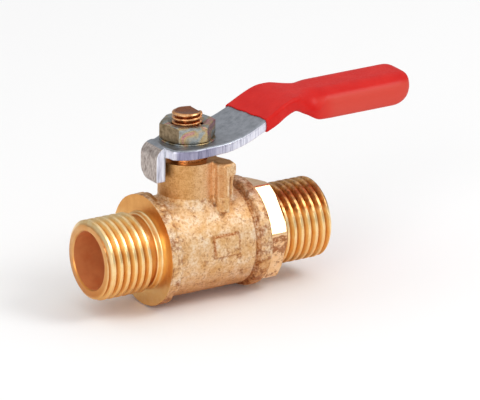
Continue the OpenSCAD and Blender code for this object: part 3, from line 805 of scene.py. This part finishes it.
def valve_body(mats):
    """Cast body with its turned inlet stub."""
    grid = Grid((-8.7, -9.6, -9.6), (11.5, 9.6, 14.9), 0.13)
    x, y, z = grid.x, grid.y, grid.z
    radius = np.hypot(y, z)
    solid = cast_field(grid)
    solid = np.maximum(solid, np.maximum(FLANGE_X - x, x - BODY_END))
    solid = np.maximum(solid, z - NECK_TOP)
    chamber = np.maximum(radius - CHAMBER_R, slab(x, -CHAMBER_X, 7.5))
    cap_bore = np.maximum(radius - CAP_BORE_R, slab(x, CAP_BORE_X, 13))
    well = np.maximum(np.hypot(x, y) - 4.05, slab(z, 0, CEILING))
    stem_bore = np.maximum(np.hypot(x, y) - NECK_BORE_R, slab(z, 0, 20))
    for hollow in (chamber, cap_bore, well, stem_bore):
        solid = np.maximum(solid, -hollow)
    body = grid.mesh("valve_body", solid)
    root = THREAD_R - THREAD_DEPTH
    end_x, boss_x = BODY_LO[0], FLANGE_X - BOSS_W
    relief_x = boss_x - RELIEF_W
    envelope = [(end_x, THREAD_R - END_CHAMFER - 0.25), (end_x + END_CHAMFER, THREAD_R),
                (relief_x - 0.25, THREAD_R), (relief_x, root), (boss_x - 0.02, root),
                (boss_x, BOSS_R - 0.12), (boss_x + 0.12, BOSS_R), (FLANGE_X - 0.3, BOSS_R),
                (FLANGE_X - 0.15, BOSS_R + 0.05), (FLANGE_X - 0.04, BOSS_R + 0.16),
                (FLANGE_X, BOSS_R + 0.3), (FLANGE_X + 0.5, BOSS_R + 0.3)]
    inlet = stub("inlet", envelope, (end_x, relief_x), INLET_CREST_X)
    combine(body, inlet, "UNION")
    combine(body, bore_tool(BODY_LO[0], -1, -6.0), "DIFFERENCE")
    paint(body, mats, body_materials(body))
    return shade(body, 38)


# ======== End cap ========
def hex_field(u, v, flats, turn):
    """Distance in a plane to a hexagon of that width across its flats."""
    sides = [u * math.cos(turn + k * math.pi / 3) + v * math.sin(turn + k * math.pi / 3)
             for k in range(6)]
    return np.maximum.reduce([np.broadcast_to(s, np.broadcast(u, v).shape) for s in sides]) - flats / 2


def end_cap(mats):
    """Hexagon with its spigot in the body and its turned outlet stub."""
    grid = Grid((10.4, -9.3, -9.3), (14.7, 9.3, 9.3), 0.09)
    x, y, z = grid.x, grid.y, grid.z
    radius = np.hypot(y, z)
    turn = math.pi / 6 - HEX_TURN
    hexagon = hex_field(y, z, HEX_AF, turn)
    corner_r = HEX_AF / 2 / math.cos(math.pi / 6)
    chamfer = (radius - corner_r + HEX_CHAMFER * 1.6) * 0.53 + (x - HEX_END) * 0.85
    dents = 0.02 * grid.noise(0.8, 21) + 0.012 * grid.noise(0.4, 22)
    solid = round_max(hexagon + dents, slab(x, 10.7, HEX_END), 0.12)
    solid = np.maximum(solid, chamfer)
    solid = np.maximum(solid, radius - corner_r + 0.12)
    cap = grid.mesh("end_cap", solid)
    spigot = [(0, SEAT_HI[0]), (SPIGOT_R, SEAT_HI[0]), (SPIGOT_R, SPIGOT_END), (0, SPIGOT_END)]
    combine(cap, lathe("spigot", spigot), "UNION")
    root = THREAD_R - THREAD_DEPTH
    end_x, relief_x = CAP_HI[0], HEX_END + OUTLET_RELIEF_W
    round_r = OUTLET_CHAMFER
    envelope = [(13.4, root + 0.15), (HEX_END + 0.05, root + 0.15), (HEX_END + 0.1, root),
                (relief_x, root), (relief_x + 0.25, THREAD_R), (end_x - round_r, THREAD_R)]
    envelope += [(end_x - round_r * (1 - math.sin(a)), THREAD_R - round_r * (1 - math.cos(a)))
                 for a in np.radians([15, 30, 45, 60, 75, 90])]
    outlet = stub("outlet", envelope, (relief_x, end_x), OUTLET_CREST_X)
    combine(cap, outlet, "UNION")
    combine(cap, bore_tool(CAP_HI[0], 1, SEAT_HI[0] - 1), "DIFFERENCE")
    centre = face_data(cap)[0]
    index = np.zeros(len(centre), np.int32)
    index[centre[:, 0] < HEX_END + 0.02] = 1
    index[np.hypot(centre[:, 1], centre[:, 2]) < BORE_R + 0.02] = 2
    paint(cap, mats, index)
    return shade(cap, 38)


# ======== Ball, seats and seals ========
def ball(mats):
    """Drilled and slotted ball with eased edges at its port."""
    ball_r = BALL_HI[1]
    arc = [(ball_r * math.sin(a), -ball_r * math.cos(a)) for a in np.linspace(0, math.pi, 61)]
    arc[0], arc[-1] = (0, -ball_r), (0, ball_r)
    made = lathe("ball", arc, steps=144)
    mouth = math.sqrt(ball_r**2 - PORT_R**2)
    ease = 0.2
    port = [(0, -8), (PORT_R + ease + 1, -mouth - 1), (PORT_R + ease, -mouth), (PORT_R, -mouth + ease),
            (PORT_R, mouth - ease), (PORT_R + ease, mouth), (PORT_R + ease + 1, mouth + 1), (0, 8)]
    combine(made, lathe("port", port, steps=128), "DIFFERENCE")
    half_w, floor_z = 1.0, 4.5
    slot = box_object("slot", (-half_w, -ball_r - 1, floor_z), (half_w, ball_r + 1, ball_r + 1))
    combine(made, slot, "DIFFERENCE")
    paint(made, mats)
    return shade(made, 30)


def box_object(name, lo, hi):
    """Closed box between two corners in millimetres."""
    points = np.array([[(lo, hi)[i][0], (lo, hi)[j][1], (lo, hi)[k][2]]
                       for i in (0, 1) for j in (0, 1) for k in (0, 1)], float)
    faces = np.array([[0, 1, 3, 2], [4, 6, 7, 5], [0, 4, 5, 1], [2, 3, 7, 6], [0, 2, 6, 4],
                      [1, 5, 7, 3]])
    return face_out(new_object(name, points * MM, [faces]))


def seat(name, direction, mats):
    """Seat ring with its hollow face to the ball and small eased edges."""
    back, front, outer = SEAT_HI[0], SEAT_LO[0], SEAT_HI[1]
    sphere_r = BALL_HI[1] + 0.05
    ease = 0.12
    inner_x = math.sqrt(sphere_r**2 - PORT_R**2)
    start = math.asin(PORT_R / sphere_r)
    end = math.acos(front / sphere_r)
    cup = [(sphere_r * math.sin(a), sphere_r * math.cos(a)) for a in np.linspace(start, end, 16)]
    loop = [(PORT_R, back - ease), (PORT_R, inner_x)] + cup[1:]
    loop += [(outer - ease, front), (outer, front + ease), (outer, back - ease),
             (outer - ease, back), (PORT_R + ease, back)]
    loop = [(r, direction * place) for r, place in loop]
    made = ring_lathe(name, loop, steps=128)
    paint(made, mats)
    return shade(made, 30)


def flat_ring(name, inner, outer, low, high, ease, mats, steps=128):
    """Flat washer with eased edges."""
    loop = [(inner, low + ease), (inner + ease, low), (outer - ease, low), (outer, low + ease),
            (outer, high - ease), (outer - ease, high), (inner + ease, high), (inner, high - ease)]
    made = ring_lathe(name, loop, "Z", steps)
    paint(made, mats)
    return shade(made, 40)


def o_ring(node, mats):
    """Moulded ring with a fine flash line at its inner and outer edge."""
    lo, hi = span(node)
    section = (hi[2] - lo[2]) / 2
    middle = hi[0] - section
    height = (hi[2] + lo[2]) / 2
    loop = []
    for a in np.linspace(0, 2 * math.pi, 48, endpoint=False):
        flash = -0.012 * max(0.0, 1 - abs(math.sin(a)) * 12)
        loop.append((middle + (section + flash) * math.cos(a), height + section * math.sin(a)))
    made = ring_lathe(node, loop, "Z", 128)
    paint(made, mats)
    return shade(made)


# ======== Stem ========
def stem(mats):
    """Stem with its tongue, collar, grooves, shank, D-shaped screw and domed, burred top."""
    grid = Grid((-4.3, -4.3, STEM_LO[2] - 0.3), (4.3, 4.3, STEM_HI[2] + 0.8), 0.07)
    x, y, z = grid.x, grid.y, grid.z
    radius = np.hypot(x, y)
    collar_low, collar_high = 6.55, 7.55
    collar_r, shank_r = 3.95, 3.2
    shoulder = PLATE_TOP - PLATE_T
    solid = round_max(radius - collar_r, slab(z, collar_low, collar_high), 0.1)
    shank = round_max(radius - shank_r, slab(z, collar_low, shoulder), 0.12)
    solid = np.minimum(solid, shank)
    groove_r, groove_w = NECK_BORE_R - 0.9, 0.6
    for node in ("stem_oring_lower", "stem_oring_upper"):
        lo, hi = span(node)
        ring = np.maximum(groove_r - radius, slab(z, (lo[2] + hi[2]) / 2 - groove_w,
                                                  (lo[2] + hi[2]) / 2 + groove_w))
        solid = np.maximum(solid, -ring)
    tongue = round_max(np.abs(x) - 0.95, np.abs(y) - 2.7, 0.15)
    solid = np.minimum(solid, round_max(tongue, slab(z, STEM_LO[2], collar_low + 0.2), 0.15))
    phase = ((z - PLATE_TOP) / STEM_PITCH - np.arctan2(y, x) / (2 * math.pi)) % 1.0
    tooth = np.clip(1.6 * (0.5 + 0.5 * np.cos(2 * math.pi * phase)) - 0.2, 0, 1)
    screw = (radius - STEM_THREAD_R + 0.55 * (1 - tooth)) * 0.7
    top = STEM_HI[2] + 0.3
    dish = z - top + 0.3 * np.clip(1 - (radius / 2.3) ** 2, 0, 1) + 0.06 * grid.noise(1.1, 32)
    screw = round_max(screw, np.maximum(shoulder - 0.5 - z, dish), 0.06)
    screw = round_max(screw, (radius - STEM_THREAD_R + z - top + 0.4) * 0.7071, 0.05)
    solid = np.minimum(solid, screw)
    solid = np.where(z > shoulder, np.maximum(solid, x - FLAT_X), solid)
    burr = np.sqrt(((x - FLAT_X - 0.12) / 0.9) ** 2 + ((y + 1.35) / 1.3) ** 2
                   + ((z - top + 0.5) / 1.6) ** 2) - 0.3
    solid = round_min(solid, np.where(np.abs(z - STEM_HI[2]) < 1.6, burr, 9), 0.12)
    solid = solid + 0.012 * grid.noise(0.5, 31) * smooth_step(z, shoulder, shoulder + 1)
    made = grid.mesh("stem", solid)
    paint(made, mats)
    return shade(made)


# ======== Lever ========
def plan_outline(g):
    """Outline of the lever from above, widened by g, as a closed list of points."""
    x, y = WAIST
    shank = 5.0
    near = [(-HUB_CUT, 1.9), (-HUB_CUT + 0.08, 2.6), (-HUB_CUT + 0.4, 3.25)]
    near += [(HUB_X + HUB_R * math.cos(a), HUB_R * math.sin(a))
             for a in np.radians(np.linspace(134, 84, 10))]
    far = [(-HUB_CUT, TAB_HALF - 0.1), (-HUB_CUT + 1.1, TAB_HALF + 0.2), (-3.6, 3.4), (-2.5, 4.3),
           (-1.2, 5.2), (0.4, 5.8)]
    near += [(x - 15.3, shank + 0.6), (x - 12.3, shank + 0.4), (x - 8.3, shank + 0.4 + g),
             (x - 5.3, shank + 0.15 + g)]
    far += [(x - 15.3, shank + 0.6), (x - 12.3, shank + 0.4), (x - 8.3, shank + 0.1 + g),
            (x - 5.3, shank - 0.05 + g)]
    half = [(x - 3.4, y + 0.55 + g), (x - 1.7, y + 0.2 + g)]
    half += [(x + 4.8 * t, y + (GRIP_HALF - y) * t * t * (3 - 2 * t) + g)
             for t in np.linspace(0, 1, 9)]
    tip_x, power = LEVER_END - GRIP_HALF, 2 / TIP_POWER
    tip = [(tip_x + (GRIP_HALF + g) * math.cos(a) ** power,
            (GRIP_HALF + g) * math.sin(a) ** power)
           for a in np.radians(np.linspace(90, 4, 30))]
    tip += [(LEVER_END + g, 0)]
    half = half + tip
    return far + half + [(a, -b) for a, b in reversed(near + half[:-1])]


def ramp_height(x):
    """Height of the sheet's middle above the hub's plane, and the cosine of its slope, along X."""
    slope = math.atan2(GRIP_RISE, RAMP_HIGH[0] - RAMP_LOW[0])
    low_x = RAMP_LOW[0] - RAMP_LOW[1] * math.tan(slope / 2)
    high_x = RAMP_HIGH[0] + RAMP_HIGH[1] * math.tan(slope / 2)
    place = np.linspace(low_x, high_x, 2000)
    sine = np.minimum((place - low_x) / RAMP_LOW[1], (high_x - place) / RAMP_HIGH[1])
    sine = np.clip(sine, 0, math.sin(slope))
    rise = sine / np.sqrt(1 - sine**2)
    height = np.concatenate([[0], np.cumsum((rise[1:] + rise[:-1]) / 2 * np.diff(place))])
    height *= GRIP_RISE / height[-1]
    return np.interp(x, place, height), np.sqrt(1 - np.interp(x, place, sine) ** 2)


def rolled(over, up, radius):
    """Distance to a corner of that radius, from the distances past its centre."""
    past = np.hypot(np.maximum(over, 0), np.maximum(up, 0)) - radius
    return past + np.minimum(np.maximum(over, up), 0)


def lever_field(grid, g, soft):
    """The lever's steel grown by g on every face, with edges rounded to soft.

    A sheet follows the ramp, and a channel that is open below makes the grip. Where they join, the
    limit keeps the top from swelling and rolls its edges over towards the grip's round sides.
    """
    x, y, z = grid.x, grid.y, grid.z
    plan = polygon_field(plan_outline(g), x, y)
    height, cosine = ramp_height(grid.axes[0].astype(float))
    middle = PLATE_MID + height[:, None, None].astype(np.float32)
    sheet = np.abs(z - middle) * cosine[:, None, None].astype(np.float32) - PLATE_T / 2 - g
    plate = round_max(sheet, np.maximum(plan, x - GRIP_START - 2.2), soft)
    edge_r = EDGE_R + (GRIP_R + g - EDGE_R) * smooth_step(x, 17.2, 22.0)
    limit = rolled(plan + edge_r, z - middle - PLATE_T / 2 - g + edge_r, edge_r)
    outer_r = GRIP_R + g
    shell = rolled(np.abs(y) - GRIP_HALF - g + outer_r, z - GRIP_AXIS, outer_r)
    shell = round_max(shell, plan, TIP_TOP_R + g)
    channel = np.maximum(shell, -(shell + PLATE_T + 2 * g))
    bottom = GRIP_AXIS - GRIP_SAG - g + 1.9 * (1 - smooth_step(x, GRIP_START - 1.5, GRIP_START + 2.6))
    past_tip = np.maximum(x - LEVER_END - g + TIP_LOW_R, 0)
    low_corner = np.hypot(past_tip, np.maximum(bottom + TIP_LOW_R - z, 0))
    low_corner = np.maximum(low_corner - TIP_LOW_R, bottom - z)
    channel = round_max(channel, low_corner, soft)
    channel = round_max(channel, np.maximum(plan, GRIP_START - 0.8 - x), soft)
    joined = round_min(plate, channel, 1.4 + g)
    return np.where(x < GRIP_START + 5, np.maximum(joined, limit), joined)


def tab_field(grid):
    """Stop tab bent down in front of the hub."""
    x, y, z = grid.x, grid.y, grid.z
    outer = rolled(-x - TAB_X + TAB_BEND_R, z - PLATE_TOP + TAB_BEND_R, TAB_BEND_R)
    shell = np.maximum(outer, -(outer + PLATE_T))
    cut = 1.35
    width = np.abs(y) - TAB_HALF
    diagonal = (y - TAB_HALF + cut - (z - TAB_BOTTOM)) * 0.7071
    trim = round_max(round_max(width, TAB_BOTTOM - z, 0.25), diagonal, 0.5)
    return np.maximum(round_max(shell, trim, 0.1), x + HUB_CUT - 0.8)


def lever(mats):
    """Bent steel lever with its stop tab and D-shaped hole."""
    grid = Grid((LEVER_LO[0] - 0.4, -GRIP_HALF - 1.2, LEVER_LO[2] - 0.4),
                (LEVER_HI[0] + 0.4, GRIP_HALF + 1.2, LEVER_HI[2] + 0.4), 0.11)
    x, y, z = grid.x, grid.y, grid.z
    solid = round_min(lever_field(grid, 0.0, 0.1), tab_field(grid), 0.12)
    hole = np.maximum(np.hypot(x, y) - STEM_THREAD_R - 0.05, x - FLAT_X - 0.05)
    hole = np.maximum(hole, slab(z, PLATE_TOP - PLATE_T - 1, PLATE_TOP + 1))
    solid = np.maximum(solid, -hole)
    made = grid.mesh("lever", solid)
    centre, normal = face_data(made)
    edge = np.abs(polygon_field(plan_outline(0.0), centre[:, 0], centre[:, 1])) < 0.09
    edge &= centre[:, 0] > -HUB_CUT + 0.1
    edge |= (np.abs(centre[:, 1]) > TAB_HALF - 0.09) & (centre[:, 0] < -HUB_CUT)
    edge |= (centre[:, 2] < TAB_BOTTOM + 0.09)
    index = edge.astype(np.int32)
    index[(centre[:, 0] < -HUB_CUT - 0.3) & (normal[:, 0] < -0.5) & ~edge] = 2
    paint(made, mats, index)
    return shade(made)


def lever_sleeve(mats):
    """Dipped sleeve: a soft skin over the grip, hollow, with a rolled slanted mouth."""
    grid = Grid((SLEEVE_LO[0] - 2.2, -GRIP_HALF - 1.6, SLEEVE_LO[2] - 1.0),
                (SLEEVE_HI[0] + 0.4, GRIP_HALF + 1.6, SLEEVE_HI[2] + 0.4), 0.12)
    x, y, z = grid.x, grid.y, grid.z
    inner = lever_field(grid, 0.02, 0.1)
    outer = lever_field(grid, SLEEVE_T, 0.3 + 0.45 * smooth_step(x, 13, 19))
    outer = outer + 0.12 * (1 - smooth_step(x, SLEEVE_LO[0], SLEEVE_LO[0] + 2.5))
    mouth = SLEEVE_LO[0] - 0.05 - 0.10 * y + 0.06 * np.sin(1.7 * y + 0.6) - x
    crease = np.hypot(y + GRIP_HALF - 0.75, z - GRIP_AXIS - GRIP_R + 0.55) - 0.16
    crease = np.maximum(crease, slab(x, GRIP_START + 2.5, SLEEVE_HI[0] - 1.6))
    outer = round_max(outer, -crease, 0.1)
    skin = round_max(outer, mouth, 0.12)
    made = grid.mesh("lever_sleeve", np.maximum(skin, -inner))
    paint(made, mats)
    return shade(made)


def lever_nut(mats):
    """Hexagon nut with chamfered corners and a countersunk screw hole."""
    grid = Grid((-5.0, -5.0, NUT_LO[2] - 0.3), (5.0, 5.0, NUT_HI[2] + 0.3), 0.07)
    x, y, z = grid.x, grid.y, grid.z
    radius = np.hypot(x, y)
    solid = round_max(hex_field(x, y, NUT_AF, math.radians(NUT_TURN)), slab(z, NUT_LO[2], NUT_HI[2]), 0.08)
    corner_r = NUT_AF / 2 / math.cos(math.pi / 6)
    for direction, plane in ((1, NUT_HI[2]), (-1, NUT_LO[2])):
        cone = (radius - corner_r + 0.42) * 0.5 + (direction * (z - plane)) * 0.866
        solid = round_max(solid, cone, 0.05)
    hole = STEM_THREAD_R + 0.03 - radius
    sink = STEM_THREAD_R + 0.65 - radius + (z - NUT_HI[2])
    solid = np.maximum(solid, hole)
    solid = np.maximum(solid, sink * 0.7071)
    made = grid.mesh("lever_nut", solid + 0.006 * grid.noise(0.7, 41))
    normal = face_data(made)[1]
    facing = math.radians(NUT_TURN + 120)
    brown = normal[:, 0] * math.cos(facing) + normal[:, 1] * math.sin(facing) > 0.95
    paint(made, mats, brown.astype(np.int32))
    return shade(made)


# ======== Scene ========
def studio():
    """Pale floor, soft lights, and a surround that is bright overhead and dim near the horizon."""
    floor_z = BODY_LO[2] - 0.05
    half = 900.0
    points = np.array([[-half, -half, floor_z], [half, -half, floor_z], [half, half, floor_z],
                       [-half, half, floor_z]])
    floor = new_object("floor", points * MM, [np.array([[0, 1, 2, 3]])])
    s = Shader("floor_paint", Roughness=0.9, Metallic=0.0)
    floor.data.materials.append(s.done(Base_Color=(0.96, 0.96, 0.96, 1)))
    world = bpy.data.worlds.new("surround")
    bpy.context.scene.world = world
    world.use_nodes = True
    tree = world.node_tree
    split = tree.nodes.new("ShaderNodeSeparateXYZ")
    where = tree.nodes.new("ShaderNodeTexCoord")
    ramp = tree.nodes.new("ShaderNodeValToRGB")
    tree.links.new(where.outputs["Generated"], split.inputs[0])
    tree.links.new(split.outputs["Z"], ramp.inputs["Fac"])
    ramp.color_ramp.elements[0].position = 0.0
    ramp.color_ramp.elements[0].color = (0.42, 0.42, 0.42, 1)
    ramp.color_ramp.elements[1].position = 0.85
    ramp.color_ramp.elements[1].color = (1, 1, 1, 1)
    ramp.color_ramp.elements.new(0.38).color = (0.5, 0.5, 0.5, 1)
    tree.links.new(ramp.outputs["Color"], tree.nodes["Background"].inputs["Color"])
    tree.nodes["Background"].inputs["Strength"].default_value = 0.96
    add_light("key", (350, -340, 505), (5, 0, 5), 260, 1.45)
    add_light("fill", (-525, -385, 245), (-10, 0, 0), 350, 1.4)


def add_light(name, place, target, size, watts):
    """Square soft light at a place, aimed at a target, both in millimetres."""
    data = bpy.data.lights.new(name, "AREA")
    data.size, data.energy = size * MM, watts
    light = bpy.data.objects.new(name, data)
    place, target = Vector(place) * MM, Vector(target) * MM
    light.location = place
    light.rotation_mode = "QUATERNION"
    light.rotation_quaternion = (target - place).to_track_quat("-Z", "Y")
    bpy.context.scene.collection.objects.link(light)


def add_camera():
    """Long lens from the front left, looking a little down, with a slight roll."""
    azimuth, elevation, roll = (math.radians(a) for a in (-32.286, 19.709, 0.553))
    distance, sensor, lens = 1941.7, 36.0, 911.2
    aim = Vector((8.376, -2.654, 6.225))
    back = Vector((math.sin(azimuth) * math.cos(elevation),
                   -math.cos(azimuth) * math.cos(elevation), math.sin(elevation)))
    right = Vector((math.cos(azimuth), math.sin(azimuth), 0))
    up = back.cross(right)
    tilted_right = right * math.cos(roll) + up * math.sin(roll)
    tilted_up = up * math.cos(roll) - right * math.sin(roll)
    data = bpy.data.cameras.new("camera")
    data.sensor_width, data.lens = sensor, lens
    data.clip_start, data.clip_end = 0.1, 20
    camera = bpy.data.objects.new("camera", data)
    turn = Matrix((tilted_right, tilted_up, back)).transposed()
    camera.matrix_world = Matrix.Translation((aim + back * distance) * MM) @ turn.to_4x4()
    bpy.context.scene.collection.objects.link(camera)
    bpy.context.scene.camera = camera


def main():
    """Builds each piece, gives it to its body, and sets the scene."""
    bpy.context.scene.view_settings.view_transform = "Standard"
    cast, neck, faced = cast_brass(), neck_brass(), faced_brass()
    turned, bore = turned_brass(), bore_brass()
    ptfe, rubber, plated = white_ptfe(), black_rubber(), plated_steel()
    copper = stem_copper()
    pieces = [
        (valve_body([cast, neck, faced, turned, bore]), "valve_body", "valve", "cast_brass"),
        (end_cap([turned, hex_brass(), bore]), "end_cap", "valve", "turned_brass"),
        (seat("seat_outlet", 1, [ptfe]), "seat_outlet", "valve", "seat_ptfe"),
        (seat("seat_inlet", -1, [ptfe]), "seat_inlet", "valve", "seat_ptfe"),
        (flat_ring("stem_thrust_washer", NECK_BORE_R, THRUST_HI[0], THRUST_LO[2], THRUST_HI[2], 0.06,
                   [ptfe]), "stem_thrust_washer", "valve", "seat_ptfe"),
        (ball([polished_chrome()]), "ball", "handle", "ball_chrome"),
        (stem([copper]), "stem", "handle", "stem_brass"),
        (o_ring("stem_oring_lower", [rubber]), "stem_oring_lower", "handle", "oring_rubber"),
        (o_ring("stem_oring_upper", [rubber]), "stem_oring_upper", "handle", "oring_rubber"),
        (lever([steel_face(), steel_edge(), tab_steel()]), "lever", "handle", "lever_steel"),
        (lever_sleeve([red_vinyl()]), "lever_sleeve", "handle", "sleeve_vinyl"),
        (flat_ring("lever_washer", 2.6, WASHER_HI[0], WASHER_LO[2], WASHER_HI[2], 0.05, [plated]),
         "lever_washer", "handle", "plated_steel"),
        (lever_nut([plated, dulled_plating()]), "lever_nut", "handle", "plated_steel"),
    ]
    for piece, node, body, slot in pieces:
        piece.name = node + "_skin"
        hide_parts(node)
        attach(piece, body)
    studio()
    add_camera()


main()
